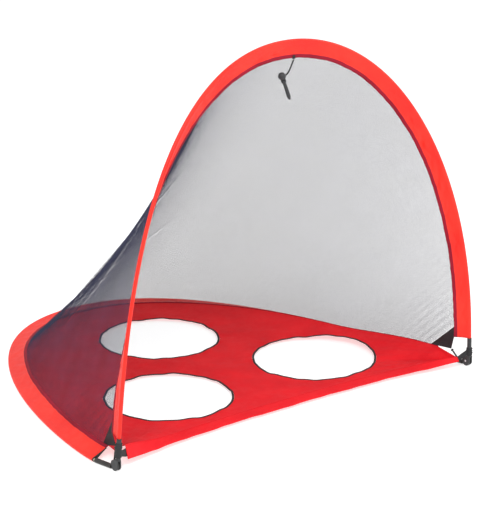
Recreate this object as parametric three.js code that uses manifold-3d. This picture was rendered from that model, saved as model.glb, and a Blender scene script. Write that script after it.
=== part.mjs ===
// Pop-up goal: two bent rod arches in cloth sleeves, hinged together at the two front corners, with a
// net between them, a floor sheet with three target holes, and a toggle that keeps the goal folded.
// Millimetres. +X to the right seen from the mouth, +Y to the back, +Z up. The pieces are placed from a
// point on the ground midway between the two front corners, and the whole goal then moves forwards, so
// that the origin is on the ground in the middle of its footprint.
import * as THREE from 'three';
import { mergeVertices } from 'three/addons/utils/BufferGeometryUtils.js';
import Module from 'manifold-3d';

const wasm = await Module();
wasm.setup();

// ---- Driving dimensions ----
const WIDTH = 1188;              // between the two corner hinges, about 1.2 m over all
const ROD_R = 3.5;               // fibreglass rod
const CLOTH = 1;                 // sheet thickness of the collision solids
const GAP = 0.3;                 // between pieces that touch

// The upright arch: apex, how far its top leans back, and the directions and reach of its curve
const ARCH_HEIGHT = 971;
const ARCH_LEAN = 95;
const ARCH_TOP_REACH = 347;
const ARCH_LEG_REACH = 525;
const LEG_INWARD = 0.059;        // the leg's slope towards the middle
const LEG_FORWARD = 0.029;       // the leg's slope towards the front
const BASE_DEPTH = 1100;         // of the base arch on the ground
// What differs between the two sides of a sprung goal: the base arch's splay and reach at each corner, how
// far each band turns out of its arch's plane at its foot, the strap loop, and the end of the front hem
const SIDES = [
  {
    name: 'left', sign: -1, splay: 11, backReach: 521, legReach: 75, baseFoot: 27, archFoot: 80,
    loop: [20, 40], hemEnd: { z: 20, width: 36, tilt: 72 },
  },
  {
    name: 'right', sign: 1, splay: -8, backReach: 462, legReach: 156, baseFoot: 50, archFoot: 50,
    loop: [18, 24], hemEnd: { z: 18, width: 14, tilt: 58 },
  },
];
const STEPS = 22;                // even steps along each half of an arch, past its foot

// Sleeves: a channel round the rod and a flat band from it to the seam
const CHANNEL_R = 3.8;
const SLEEVE_R = 5;
const BASE_BAND_W = 44;          // from the rod's centre to the seam
const ARCH_BAND_W = 36;
const SEAM_W = 6;
const SEAM_T = 2.2;
const SLEEVE_START = 5;          // from the elbow's end to the base sleeve
const END_BINDING = 3.2;
const ROD_Z = SLEEVE_R;          // the sleeve lies on the ground
// How far the band tilts out of its arch's plane, in degrees, past its foot
const BASE_TILT = { leg: 27, apex: 5 };
const ARCH_TILT = { leg: 52, apex: 5 };

// Corner hinges
const ELBOW_R = 6;               // tubes of both arms
const KNUCKLE_R = 14;            // the hinge's axis is this far from the front and from the ground
const TONGUE_R = 12;
const TONGUE_T = 4.4;
const CHEEK_T = 3.5;
const BASE_ARM = [15, 70];       // the base tube's start and end, from the knuckle's axis
const ARCH_ARM = [13, 70];
const SOCKET_DEPTH = 24;
const RIVET_R = 2;
const RIVET_HEAD_R = 3;
const RIVET_COVER = 1.2;         // of plastic over the rivet's outer end

// Floor and its holes
const HOLE_R = 170;
const HOLES = [
  { name: 'back', x: 28, y: 713 },
  { name: 'left', x: -222, y: 315 },
  { name: 'right', x: 276, y: 305 },
];
const FLOOR_Z = 7;
const BINDING_W = 6;
const BINDING_T = 2.6;
// Front hem: its front edge runs from corner to corner, bowed back and low in the middle. SIDES has its ends
const HEM_END_X = 560;
const HEM_END_Y = 12;
const HEM_MIDDLE = { y: 62, z: 8, width: 38, tilt: 8 };
const HEM_T = 2.4;

// Corner patches, net and toggle
const PATCH_REACH = 33;          // along each seam
const PATCH_TIP = [568, 52, 44];
const NET_T = 0.6;
const NET_ROWS = 10;
const TOGGLE_X = 22;
const CORD_R = 2;
const TOGGLE_BALL_R = 10;
const TOGGLE_PEG_R = 4.4;

// ---- Materials ----
const paint = (color, roughness, metalness = 0) => new THREE.MeshStandardMaterial({ color, roughness, metalness });
const RED = paint(0xe8352f, 0.6);
const MAROON = paint(0x8a1526, 0.7);
const BLACK_CLOTH = paint(0x1d1d20, 0.9);
const BLACK_PLASTIC = paint(0x2a2a2d, 0.45);
const NET = paint(0x222226, 0.8);
const FIBREGLASS = paint(0xe8d2b4, 0.4);
const STEEL = paint(0xc8c8cc, 0.3, 1);

const goal = new THREE.Group();

function add(name, geometry, material) {
  const mesh = new THREE.Mesh(geometry, material);
  mesh.name = name;
  goal.add(mesh);
  return mesh;
}

// ---- Helpers ----
const v = (x, y, z) => new THREE.Vector3(x, y, z);
const rad = (degrees) => (degrees * Math.PI) / 180;
const smooth = (low, high, x) => THREE.MathUtils.smoothstep(x, low, high);
const mix = THREE.MathUtils.lerp;

function geometryOf(points, triangles) {
  const geometry = new THREE.BufferGeometry();
  geometry.setAttribute('position', new THREE.Float32BufferAttribute(points.flatMap((p) => p.toArray()), 3));
  geometry.setIndex(triangles.flat());
  return geometry;
}

// A solid whose sections are rings of points, joined in order. Each ring runs the same way round and has
// an even count. With inner rings of the same count it is a pipe of that wall, open right through.
function loft(outer, inner = null) {
  const n = outer[0].length;
  const last = outer.length - 1;
  const points = outer.flat().concat(inner ? inner.flat() : []);
  const triangles = [];
  const quad = (a, b, c, d) => triangles.push([a, b, c], [a, c, d]);
  const inside = outer.length * n;
  for (let k = 0; k < last; k++) {
    for (let i = 0; i < n; i++) {
      const j = (i + 1) % n;
      quad(k * n + i, k * n + j, (k + 1) * n + j, (k + 1) * n + i);
      if (inner) quad(inside + (k + 1) * n + i, inside + (k + 1) * n + j, inside + k * n + j, inside + k * n + i);
    }
  }
  for (let i = 0; i < n; i++) {
    const j = (i + 1) % n;
    if (inner) {
      quad(j, i, inside + i, inside + j);
      quad(last * n + i, last * n + j, inside + last * n + j, inside + last * n + i);
    } else if (i < n / 2 - 1) {
      const opposite = n - 1 - i;
      quad(j, i, opposite, opposite - 1);
      quad(last * n + i, last * n + j, last * n + opposite - 1, last * n + opposite);
    }
  }
  return outward(geometryOf(points, triangles));
}

// Turns a closed skin's faces outwards.
function outward(geometry) {
  const p = geometry.attributes.position;
  const index = geometry.index.array;
  let volume = 0;
  for (let k = 0; k < index.length; k += 3) {
    const [a, b, c] = [0, 1, 2].map((i) => new THREE.Vector3().fromBufferAttribute(p, index[k + i]));
    volume += a.dot(b.cross(c));
  }
  if (volume < 0) {
    for (let k = 0; k < index.length; k += 3) [index[k], index[k + 1]] = [index[k + 1], index[k]];
  }
  return geometry;
}

function solidOf(geometry) {
  const bare = geometry.clone();
  bare.deleteAttribute('normal');
  bare.deleteAttribute('uv');
  const merged = mergeVertices(bare, 1e-4);
  const vertProperties = new Float32Array(merged.attributes.position.array);
  const triVerts = new Uint32Array(merged.index.array);
  return new wasm.Manifold(new wasm.Mesh({ numProp: 3, vertProperties, triVerts }));
}

function geometryFrom(solid) {
  const mesh = solid.getMesh();
  const geometry = new THREE.BufferGeometry();
  geometry.setAttribute('position', new THREE.BufferAttribute(mesh.vertProperties, 3));
  geometry.setIndex(new THREE.BufferAttribute(mesh.triVerts, 1));
  return geometry;
}

// A round bar of `sides` flats, each at `radius`, from `start` to `end`. One flat faces `flat`.
function bar(radius, sides, start, end, flat = v(0, 0, -1)) {
  const along = end.clone().sub(start);
  const step = Math.PI / sides;
  const r = radius / Math.cos(step);
  const geometry = new THREE.CylinderGeometry(r, r, along.length(), sides, 1, false, step);
  const y = along.clone().normalize();
  const x = y.clone().cross(flat).normalize();
  const z = x.clone().cross(y);
  geometry.applyMatrix4(new THREE.Matrix4().makeBasis(x, y, z));
  const middle = start.clone().add(end).multiplyScalar(0.5);
  return geometry.translate(middle.x, middle.y, middle.z);
}

function box(low, high) {
  const size = high.clone().sub(low);
  const middle = low.clone().add(high).multiplyScalar(0.5);
  return new THREE.BoxGeometry(size.x, size.y, size.z).translate(middle.x, middle.y, middle.z);
}

const circle = (radius, sides, turn = 0) =>
  Array.from({ length: sides }, (_, i) => {
    const angle = ((i + turn) * 2 * Math.PI) / sides;
    return [radius * Math.cos(angle), radius * Math.sin(angle)];
  });

// ---- The corners: where each arm points and where its rod leaves it ----
const corners = SIDES.map((side) => {
  const x = (side.sign * WIDTH) / 2;
  const splay = rad(side.splay);
  const baseRoot = v(x, KNUCKLE_R, ELBOW_R);
  const baseWay = v(side.sign * Math.sin(splay), Math.cos(splay), 0);
  const archRoot = v(x, ELBOW_R, KNUCKLE_R);
  const archWay = v(-side.sign * LEG_INWARD, -LEG_FORWARD, 1).normalize();
  const at = (root, way) => (distance) => root.clone().addScaledVector(way, distance);
  return { ...side, x, baseWay, archWay, onBase: at(baseRoot, baseWay), onArch: at(archRoot, archWay) };
});
const [LEFT, RIGHT] = corners;

// ---- The arches ----
// Half an arch is one cubic curve from the apex to the elbow.
function halfArch(apex, reach, foot, way, legReach, sign) {
  return new THREE.CubicBezierCurve3(
    apex,
    apex.clone().add(v(sign * reach, 0, 0)),
    foot.clone().addScaledVector(way, legReach),
    foot,
  );
}

// How far along the rod from its elbow each piece starts, so that every piece has a station there.
const START = {
  rod: 0,
  uprightSleeve: 1,
  endBinding: SLEEVE_START,
  endBindingEnd: SLEEVE_START + END_BINDING,
  baseSleeve: SLEEVE_START + END_BINDING + GAP,
  patchEnd: PATCH_REACH,
  net: PATCH_REACH + 1.5,
};

// Stations from the left foot to the right foot, each with its distance from the nearer foot, its share
// of the way to the apex, and a frame: t along the rod, n inwards in the arch's plane, b out of it.
function archStations(curves, out, tilts) {
  const halves = curves.map((curve, side) => {
    const length = curve.getLength();
    const even = Array.from({ length: STEPS }, (_, k) => mix(START.net, length, (k + 1) / STEPS));
    return [...Object.values(START), ...even].map((distance) => {
      const u = 1 - Math.min(distance / length, 1);
      const t = curve.getTangentAt(u).multiplyScalar(side ? 1 : -1);
      return { p: curve.getPointAt(u), distance, tilt: tilts[side](1 - u), ...frameAt(t, out) };
    });
  });
  return [...halves[0], ...halves[1].reverse().slice(1)];
}

function frameAt(t, out) {
  const b = out.clone().addScaledVector(t, -out.dot(t)).normalize();
  return { t, b, n: t.clone().cross(b).multiplyScalar(out.z ? 1 : -1) };
}

const baseCurves = corners.map((c) => {
  const foot = c.onBase(BASE_ARM[1]);
  const curve = halfArch(v(0, BASE_DEPTH, ROD_Z), c.backReach, foot, c.baseWay, c.legReach, c.sign);
  curve.v2.z = ROD_Z;
  return curve;
});
const archCurves = corners.map((c) =>
  halfArch(v(0, ARCH_LEAN, ARCH_HEIGHT), ARCH_TOP_REACH, c.onArch(ARCH_ARM[1]), c.archWay, ARCH_LEG_REACH, c.sign));

// The band's tilt at a share of the way from the foot to the apex
const tiltFrom = (foot, { leg, apex }) => (rise) =>
  rad(mix(mix(foot, leg, smooth(0.03, 0.3, rise)), apex, smooth(0.35, 0.95, rise)));
const baseTilts = corners.map((c) => tiltFrom(c.baseFoot, BASE_TILT));
const archTilts = corners.map((c) => tiltFrom(c.archFoot, ARCH_TILT));

const base = { stations: archStations(baseCurves, v(0, 0, 1), baseTilts), band: BASE_BAND_W };
const arch = { stations: archStations(archCurves, v(0, 1, 0), archTilts), band: ARCH_BAND_W };

// A point of the band at a station: `along` the band from the rod, `off` its face.
function bandPoint({ p, n, b, tilt }, along, off) {
  return p.clone()
    .addScaledVector(n, along * Math.cos(tilt) - off * Math.sin(tilt))
    .addScaledVector(b, along * Math.sin(tilt) + off * Math.cos(tilt));
}
const ringAt = (station, section) => section.map(([along, off]) => bandPoint(station, along, off));

// The stations from `start` onwards, up to `end` on each side where one is given.
const from = (of, start, end = Infinity) => of.stations.filter((s) => s.distance >= start && s.distance <= end);
const onSide = (stations, sign) => stations.filter((s) => s.p.x * sign > 0);

// ---- Rods ----
for (const [name, of, on, arm] of [['base_rod', base, 'onBase', BASE_ARM], ['upright_rod', arch, 'onArch', ARCH_ARM]]) {
  const [first, last] = [of.stations[0], of.stations.at(-1)];
  const socket = SOCKET_DEPTH - 2;
  const ends = corners.map((c) => c[on](arm[1] - socket));
  const stations = [{ ...first, p: ends[0] }, ...of.stations, { ...last, p: ends[1] }];
  add(name, loft(stations.map((s) => ringAt(s, circle(ROD_R, 8)))), FIBREGLASS);
}

// ---- Sleeves, their seam bindings and the black bindings on the base sleeve's ends ----
const TAIL_T = 1.4;              // the band's thickness at the seam
const outerSection = (band) => [
  [band, TAIL_T / 2], [band / 2, 2.4], [SLEEVE_R * 0.8, SLEEVE_R * 0.9],
  ...circle(SLEEVE_R, 12, 0.5).slice(3, 9),
  [SLEEVE_R * 0.8, -SLEEVE_R * 0.9], [band / 2, -2.4], [band, -TAIL_T / 2],
];
const innerSection = circle(CHANNEL_R, 12, 0.5);
const seamSection = (band) => [
  [band + GAP, SEAM_T / 2], [band + GAP, -SEAM_T / 2],
  [band + SEAM_W, -SEAM_T / 2], [band + SEAM_W, SEAM_T / 2],
];

function sleevePart(of, stations) {
  const rings = (section) => stations.map((s) => ringAt(s, section));
  return loft(rings(outerSection(of.band)), rings(innerSection));
}

for (const [name, of, start] of [['base', base, START.baseSleeve], ['upright', arch, START.uprightSleeve]]) {
  const stations = from(of, start);
  add(`${name}_sleeve`, sleevePart(of, stations), RED);
  add(`${name}_seam_binding`, loft(stations.map((s) => ringAt(s, seamSection(of.band)))), MAROON);
}
for (const c of corners) {
  const ends = onSide(from(base, START.endBinding, START.endBindingEnd), c.sign);
  add(`sleeve_end_binding_${c.name}`, sleevePart(base, ends), BLACK_CLOTH);
}

// ---- Front hem ----
// The hem's section at x: its front edge and its back edge.
function hemAt(x) {
  const t = Math.abs(x) / HEM_END_X;
  const end = (x < 0 ? LEFT : RIGHT).hemEnd;
  const tilt = rad(mix(HEM_MIDDLE.tilt, end.tilt, t ** 8));
  const front = v(x, mix(HEM_MIDDLE.y, HEM_END_Y, t ** 3), mix(HEM_MIDDLE.z, end.z, t ** 5));
  const way = v(0, Math.cos(tilt), Math.sin(tilt));
  const width = mix(HEM_MIDDLE.width, end.width, t ** 4);
  return { front, way, face: v(0, -Math.sin(tilt), Math.cos(tilt)), width };
}
const HEM_STEPS = 24;
const hemXs = Array.from({ length: HEM_STEPS + 1 }, (_, k) => {
  const s = (2 * k) / HEM_STEPS - 1;
  return HEM_END_X * Math.sign(s) * (1 - (1 - Math.abs(s)) ** 1.4);
});
add('front_hem', loft(hemXs.map((x) => {
  const { front, way, face, width } = hemAt(x);
  return [[0, -1], [width, -1], [width, 1], [0, 1]].map(([along, off]) =>
    front.clone().addScaledVector(way, along).addScaledVector(face, (off * HEM_T) / 2));
})), RED);

// ---- Floor sheet: cut to the base seam and the hem, with three round holes ----
const seamEnd = (of) => of.band + SEAM_W;
{
  const rim = from(base, START.baseSleeve).map((s) => bandPoint(s, seamEnd(base) + 4 * GAP, -0.3));
  const hem = hemXs.map((x) => {
    const { front, way, width } = hemAt(x);
    return front.clone().addScaledVector(way, width).add(v(0, HEM_T / 2 + GAP, 0));
  });
  const outline = [...rim, ...hem.reverse()];
  const height = new Map(outline.map((p) => [`${p.x.toFixed(2)},${p.y.toFixed(2)}`, p.z]));
  const shape = new THREE.Shape(outline.map((p) => new THREE.Vector2(p.x, p.y)));
  for (const hole of HOLES) {
    const ring = circle(HOLE_R + BINDING_W + GAP, 32).map(([x, y]) => new THREE.Vector2(hole.x + x, hole.y + y));
    shape.holes.push(new THREE.Path(ring));
  }
  const sheet = new THREE.ExtrudeGeometry(shape, { depth: CLOTH, bevelEnabled: false, curveSegments: 1 });
  const p = sheet.attributes.position;
  for (let i = 0; i < p.count; i++) {
    const edge = height.get(`${p.getX(i).toFixed(2)},${p.getY(i).toFixed(2)}`) ?? FLOOR_Z;
    p.setZ(i, p.getZ(i) + edge - CLOTH);
  }
  add('floor_sheet', sheet, RED);
}
for (const hole of HOLES) {
  const [r0, r1] = [HOLE_R, HOLE_R + BINDING_W];
  const low = FLOOR_Z - CLOTH / 2 - BINDING_T / 2;
  const profile = [[r0, low], [r1, low], [r1, low + BINDING_T], [r0, low + BINDING_T], [r0, low]];
  const ring = new THREE.LatheGeometry(profile.map(([x, y]) => new THREE.Vector2(x, y)), 32);
  ring.rotateX(Math.PI / 2).translate(hole.x, hole.y, 0);
  add(`hole_binding_${hole.name}`, ring, BLACK_CLOTH);
}

// ---- Corner hinges: a tongue on the base arm, a fork on the upright arm, and a rivet ----
const acrossX = (c, low, high) => [v(c.x + low, KNUCKLE_R, KNUCKLE_R), v(c.x + high, KNUCKLE_R, KNUCKLE_R)];
// The rivet goes in from the goal's side and stops under the outer cheek's face.
const RIVET_END = ELBOW_R - RIVET_COVER;
const rivetHole = (c) => solidOf(bar(RIVET_R + 0.5, 16, ...acrossX(c, -20 * c.sign, RIVET_END * c.sign)));
const socket = (from, arm) => solidOf(bar(CHANNEL_R, 12, from(arm[1] - SOCKET_DEPTH), from(arm[1] + 1)));

for (const c of corners) {
  const t = TONGUE_T / 2;
  const tongue = solidOf(bar(TONGUE_R, 24, ...acrossX(c, -t, t)))
    .add(solidOf(box(v(c.x - t, KNUCKLE_R, 2), v(c.x + t, KNUCKLE_R + 20, 11))))
    .add(solidOf(bar(ELBOW_R, 12, c.onBase(BASE_ARM[0]), c.onBase(BASE_ARM[1]))))
    .subtract(socket(c.onBase, BASE_ARM))
    .subtract(rivetHole(c));
  add(`base_elbow_${c.name}`, geometryFrom(tongue), BLACK_PLASTIC);

  let fork = solidOf(bar(ELBOW_R, 12, c.onArch(ARCH_ARM[0]), c.onArch(ARCH_ARM[1]), v(0, 1, 0)));
  for (const x of [-ELBOW_R, ELBOW_R - CHEEK_T]) {
    fork = fork
      .add(solidOf(bar(KNUCKLE_R, 24, ...acrossX(c, x, x + CHEEK_T))))
      .add(solidOf(box(v(c.x + x, 0.3, KNUCKLE_R), v(c.x + x + CHEEK_T, 11.7, KNUCKLE_R + 16))));
  }
  fork = fork.subtract(socket(c.onArch, ARCH_ARM)).subtract(rivetHole(c));
  add(`upright_elbow_${c.name}`, geometryFrom(fork), BLACK_PLASTIC);

  const head = ELBOW_R + GAP;
  const end = RIVET_END - GAP;
  const profile = [[0, -head - 1.2], [RIVET_HEAD_R - 0.8, -head - 1.2], [RIVET_HEAD_R, -head - 0.5],
    [RIVET_HEAD_R, -head], [RIVET_R, -head], [RIVET_R, end], [0, end]];
  const rivet = new THREE.LatheGeometry(profile.map(([x, y]) => new THREE.Vector2(x, y)), 16);
  rivet.rotateZ((-c.sign * Math.PI) / 2).translate(c.x, KNUCKLE_R, KNUCKLE_R);
  add(`hinge_rivet_${c.name}`, rivet, STEEL);
}

// ---- Straps: a webbing loop round each upright arm, with a tail to the front hem ----
for (const c of corners) {
  const [r, wall] = [ELBOW_R + 0.7, 1.8];
  const [start, height] = c.loop;
  const from = c.onArch(start);
  const tail = Math.abs(from.x) - HEM_END_X - 1;
  const outer = circle(r + wall, 16, 0.5).map(([x, y]) => [x, y]).filter(([x, y]) => x > 0 || Math.abs(y) > 2);
  const keyhole = [];
  for (const [x, y] of outer) {
    if (keyhole.length && y < 0 && keyhole.at(-1)[1] > 0) keyhole.push([-tail, 1.2], [-tail, -1.2]);
    keyhole.push([x, y]);
  }
  const shape = new THREE.Shape(keyhole.map(([x, y]) => new THREE.Vector2(c.sign * x, y)));
  shape.holes.push(new THREE.Path(circle(r, 16, 0.5).map(([x, y]) => new THREE.Vector2(x, y))));
  const loop = new THREE.ExtrudeGeometry(shape, { depth: height, bevelEnabled: false, curveSegments: 1 });
  loop.applyQuaternion(new THREE.Quaternion().setFromUnitVectors(v(0, 0, 1), c.archWay));
  add(`strap_loop_${c.name}`, loop.translate(from.x, from.y, from.z), BLACK_CLOTH);
}

// ---- Net: a ruled sheet from the base seam to the upright seam ----
const rimOf = (of, stations, lift) => stations.map((s) => bandPoint(s, seamEnd(of) + 0.9, 0).add(v(0, 0, lift)));
const netRims = [rimOf(base, from(base, START.net), 1.6), rimOf(arch, from(arch, START.net), 0)];
function netPoint(k, row) {
  return netRims[0][k].clone().lerp(netRims[1][k], row / NET_ROWS);
}
{
  const columns = netRims[0].length;
  const rings = [];
  for (let k = 0; k < columns; k++) {
    const faces = [[], []];
    for (let row = 0; row <= NET_ROWS; row++) {
      const across = netPoint(Math.min(k + 1, columns - 1), row).sub(netPoint(Math.max(k - 1, 0), row));
      const up = netPoint(k, NET_ROWS).sub(netPoint(k, 0));
      const normal = across.cross(up).normalize().multiplyScalar(NET_T / 2);
      faces[0].push(netPoint(k, row).add(normal));
      faces[1].push(netPoint(k, row).sub(normal));
    }
    rings.push([...faces[0], ...faces[1].reverse()]);
  }
  add('net', loft(rings), NET);
}

// ---- Corner patches, and the cord that ties each to its elbow ----
for (const c of corners) {
  const tip = v(c.sign * PATCH_TIP[0], PATCH_TIP[1], PATCH_TIP[2]);
  const corner = (of, distance, lift) => rimOf(of, onSide(from(of, distance, distance), c.sign), lift)[0];
  const outline = [
    corner(arch, START.patchEnd, 0), corner(arch, START.uprightSleeve, 0), tip,
    corner(base, START.baseSleeve, 1.8), corner(base, START.patchEnd, 1.8),
  ];
  // The cloth bends about its middle: each face is a fan of triangles, set off along its own normals.
  const middle = outline.reduce((sum, p) => sum.addScaledVector(p, 1 / outline.length), v(0, 0, 0));
  const fan = outline.map((p, i) => p.clone().sub(middle).cross(outline[(i + 1) % 5].clone().sub(middle)));
  const normals = fan.map((n, i) => n.clone().add(fan.at(i - 1)).normalize());
  normals.push(fan.reduce((sum, n) => sum.add(n), v(0, 0, 0)).normalize());
  const faces = [0.5, -0.5].map((d) =>
    [...outline, middle].map((p, i) => p.clone().addScaledVector(normals[i], d * CLOTH)));
  const triangles = [];
  for (let i = 0; i < 5; i++) {
    const j = (i + 1) % 5;
    triangles.push([i, j, 5], [j + 6, i + 6, 11], [i, i + 6, j], [j, i + 6, j + 6]);
  }
  add(`corner_patch_${c.name}`, outward(geometryOf(faces.flat(), triangles)), BLACK_CLOTH);

  const start = c.onBase(BASE_ARM[0] + 2).add(v(-c.sign * (ELBOW_R + 2), 0, 3));
  const way = tip.clone().sub(start).normalize();
  const knotR = 3.6;
  const knot = tip.clone().addScaledVector(way, -knotR - 1.2);
  const cordEnd = knot.clone().addScaledVector(way, -knotR - GAP);
  add(`tie_cord_${c.name}`, bar(1.6, 8, start, cordEnd, v(0, 1, 0)), BLACK_CLOTH);
  const bead = new THREE.SphereGeometry(knotR, 12, 8).translate(knot.x, knot.y, knot.z);
  add(`tie_knot_${c.name}`, bead, BLACK_CLOTH);
}

// ---- Toggle: a tab on the upright's seam, an elastic cord, and a peg with a ball head ----
const middle = (arch.stations.length - 1) / 2;
const [apex, next] = arch.stations.slice(middle, middle + 2);
const nearApex = (x, along, off) => {
  const ends = [apex, next].map((s) => bandPoint(s, along, off));
  return ends[0].lerp(ends[1], x / next.p.x);
};
const TAB_FACE = -SEAM_T / 2 - GAP;
const TAB_END = 3;
const tabSection = [[-6, TAB_FACE], [TAB_END, TAB_FACE], [TAB_END, TAB_FACE - 2], [-6, TAB_FACE - 2]];
add('toggle_tab', loft([TOGGLE_X - 4, TOGGLE_X + 4].map((x) =>
  tabSection.map(([down, off]) => nearApex(x, seamEnd(arch) + down, off)))), BLACK_CLOTH);

// The cord's end turns on its anchor, clear of the tab.
const anchor = nearApex(TOGGLE_X, seamEnd(arch) + TAB_END + CORD_R + GAP, TAB_FACE - 1);
const ballAt = anchor.clone().add(v(-37.5, 0, -37.5));
const pegWay = v(27, 0, -65).normalize();
// The cord comes down nearly straight and turns into the ball's side.
const cordSide = v(1, 0, 0.1).normalize();
const cordIn = ballAt.clone().addScaledVector(cordSide, TOGGLE_BALL_R + GAP);
const CORD_DROP = v(-8, 0, -14); // from the anchor to the curve's first handle
const CORD_TURN = 12;            // from the ball's side to its second
const cordShape = new THREE.Shape(circle(CORD_R, 8).map(([x, y]) => new THREE.Vector2(x, y)));
const cordPath = new THREE.CubicBezierCurve3(
  anchor, anchor.clone().add(CORD_DROP), cordIn.clone().addScaledVector(cordSide, CORD_TURN), cordIn);
add('toggle_cord', new THREE.ExtrudeGeometry(cordShape, { steps: 16, bevelEnabled: false, extrudePath: cordPath }),
  BLACK_CLOTH);

// Lathe profiles run down the toggle's own axis from the ball's centre.
function turned(profile, sides) {
  const upwards = profile.map(([r, down]) => new THREE.Vector2(r, -down)).reverse();
  const geometry = new THREE.LatheGeometry(upwards, sides);
  geometry.applyQuaternion(new THREE.Quaternion().setFromUnitVectors(v(0, -1, 0), pegWay));
  return geometry.translate(ballAt.x, ballAt.y, ballAt.z);
}
const NECK_R = 2.4;
const BORE_R = NECK_R + GAP;
const ballProfile = [];
const BORE_ANGLE = Math.asin(BORE_R / TOGGLE_BALL_R);
for (let k = 0; k <= 10; k++) {
  const angle = mix(0, Math.PI - BORE_ANGLE, k / 10);
  ballProfile.push([TOGGLE_BALL_R * Math.sin(angle), -TOGGLE_BALL_R * Math.cos(angle)]);
}
add('toggle_ball', turned([...ballProfile, [BORE_R, 2], [0, 2]], 16), BLACK_PLASTIC);
add('toggle_collar', turned([[BORE_R, 11], [6.4, 11], [7, 13], [7, 16], [6, 18], [BORE_R, 18], [BORE_R, 11]], 16),
  BLACK_PLASTIC);
add('toggle_peg', turned([
  [0, 2.4], [NECK_R, 2.4], [NECK_R, 18.4], [TOGGLE_PEG_R, 18.4], [TOGGLE_PEG_R + 0.4, 46],
  [TOGGLE_PEG_R, 60], [3, 66], [1, 68.4], [0, 68.4],
], 12), BLACK_PLASTIC);

goal.position.y = -BASE_DEPTH / 2;

export default goal;
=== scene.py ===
"""Looks of the pop-up goal: cloth sleeves on two arches, a net of real threads, a floor sheet with three
bound holes, and a toggle. Metres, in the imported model's frame: +X right seen from the mouth, +Y to the
back, +Z up, origin on the ground in the middle of the footprint."""
import math

import bmesh
import bpy
import numpy as np
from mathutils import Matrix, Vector
from mathutils.geometry import delaunay_2d_cdt


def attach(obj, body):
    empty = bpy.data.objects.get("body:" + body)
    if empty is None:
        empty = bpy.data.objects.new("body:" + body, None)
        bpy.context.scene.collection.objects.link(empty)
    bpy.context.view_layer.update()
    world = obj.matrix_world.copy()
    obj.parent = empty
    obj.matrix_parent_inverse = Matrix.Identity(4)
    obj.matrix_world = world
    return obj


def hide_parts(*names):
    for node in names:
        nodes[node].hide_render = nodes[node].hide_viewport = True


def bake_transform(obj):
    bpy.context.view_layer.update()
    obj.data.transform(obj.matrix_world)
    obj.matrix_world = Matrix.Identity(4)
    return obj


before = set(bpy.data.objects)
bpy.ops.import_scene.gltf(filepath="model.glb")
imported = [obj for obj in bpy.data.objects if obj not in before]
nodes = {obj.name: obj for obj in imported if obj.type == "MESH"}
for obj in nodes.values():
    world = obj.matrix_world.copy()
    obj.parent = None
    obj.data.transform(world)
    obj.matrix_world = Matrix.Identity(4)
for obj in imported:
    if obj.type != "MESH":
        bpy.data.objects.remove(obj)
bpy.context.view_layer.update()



def placed(name, data):
    obj = bpy.data.objects.new(name, data)
    bpy.context.scene.collection.objects.link(obj)
    return obj


# ---------------------------------------------------------------- the camera
camera = placed("camera", bpy.data.cameras.new("camera"))
camera.location = (-2.7708, -3.8332, 1.7413)
LOOKS_DOWN, TURNED_RIGHT = 16.930, 37.788  # degrees
camera.rotation_euler = (math.radians(90 - LOOKS_DOWN), 0, math.radians(-TURNED_RIGHT))
camera.data.sensor_fit = "HORIZONTAL"
camera.data.sensor_width = 36
camera.data.lens = 132.42
bpy.context.scene.camera = camera

# ------------------------------------------------- the arches, as in the CAD
MIDDLE_Y = -0.55  # the line of the corner hinges, in front of the origin
HALF_WIDTH = 0.594
BASE_DEPTH, ARCH_LEAN, ARCH_HEIGHT = 1.1, 0.095, 0.971
ARCH_TOP_REACH, ARCH_LEG_REACH = 0.347, 0.525
BASE_BAND, ARCH_BAND = 0.044, 0.036
KNUCKLE, TUBE = 0.014, 0.006
ARM_END = 0.07  # the elbows' arms end this far from their roots
ROD_Z = 0.005
GAP = 0.0003
SEAM_W, SEAM_T = 0.006, 0.0022
# each side's splay, reaches of the base's curve, tilt of each band at its foot, and the front hem's end as
# height, width and tilt. Lengths in metres, angles in degrees
SIDES = {
    -1: {"splay": 11, "back": 0.521, "leg": 0.075, "base_foot": 27, "arch_foot": 80,
         "hem": (0.020, 0.036, 72)},
    1: {"splay": -8, "back": 0.462, "leg": 0.156, "base_foot": 50, "arch_foot": 50,
        "hem": (0.018, 0.014, 58)},
}
SLEEVE_START, END_BINDING = 0.005, 0.0032
NET_START, PATCH_END = 0.0345, 0.033


def unit(a):
    return a / np.linalg.norm(a, axis=-1, keepdims=True)


def bezier(points, t):
    a, b, c, d = points
    t = t[:, None]
    return (1 - t) ** 3 * a + 3 * (1 - t) ** 2 * t * b + 3 * (1 - t) * t * t * c + t**3 * d


def smoothstep(low, high, x):
    t = np.clip((x - low) / (high - low), 0, 1)
    return t * t * (3 - 2 * t)


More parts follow.
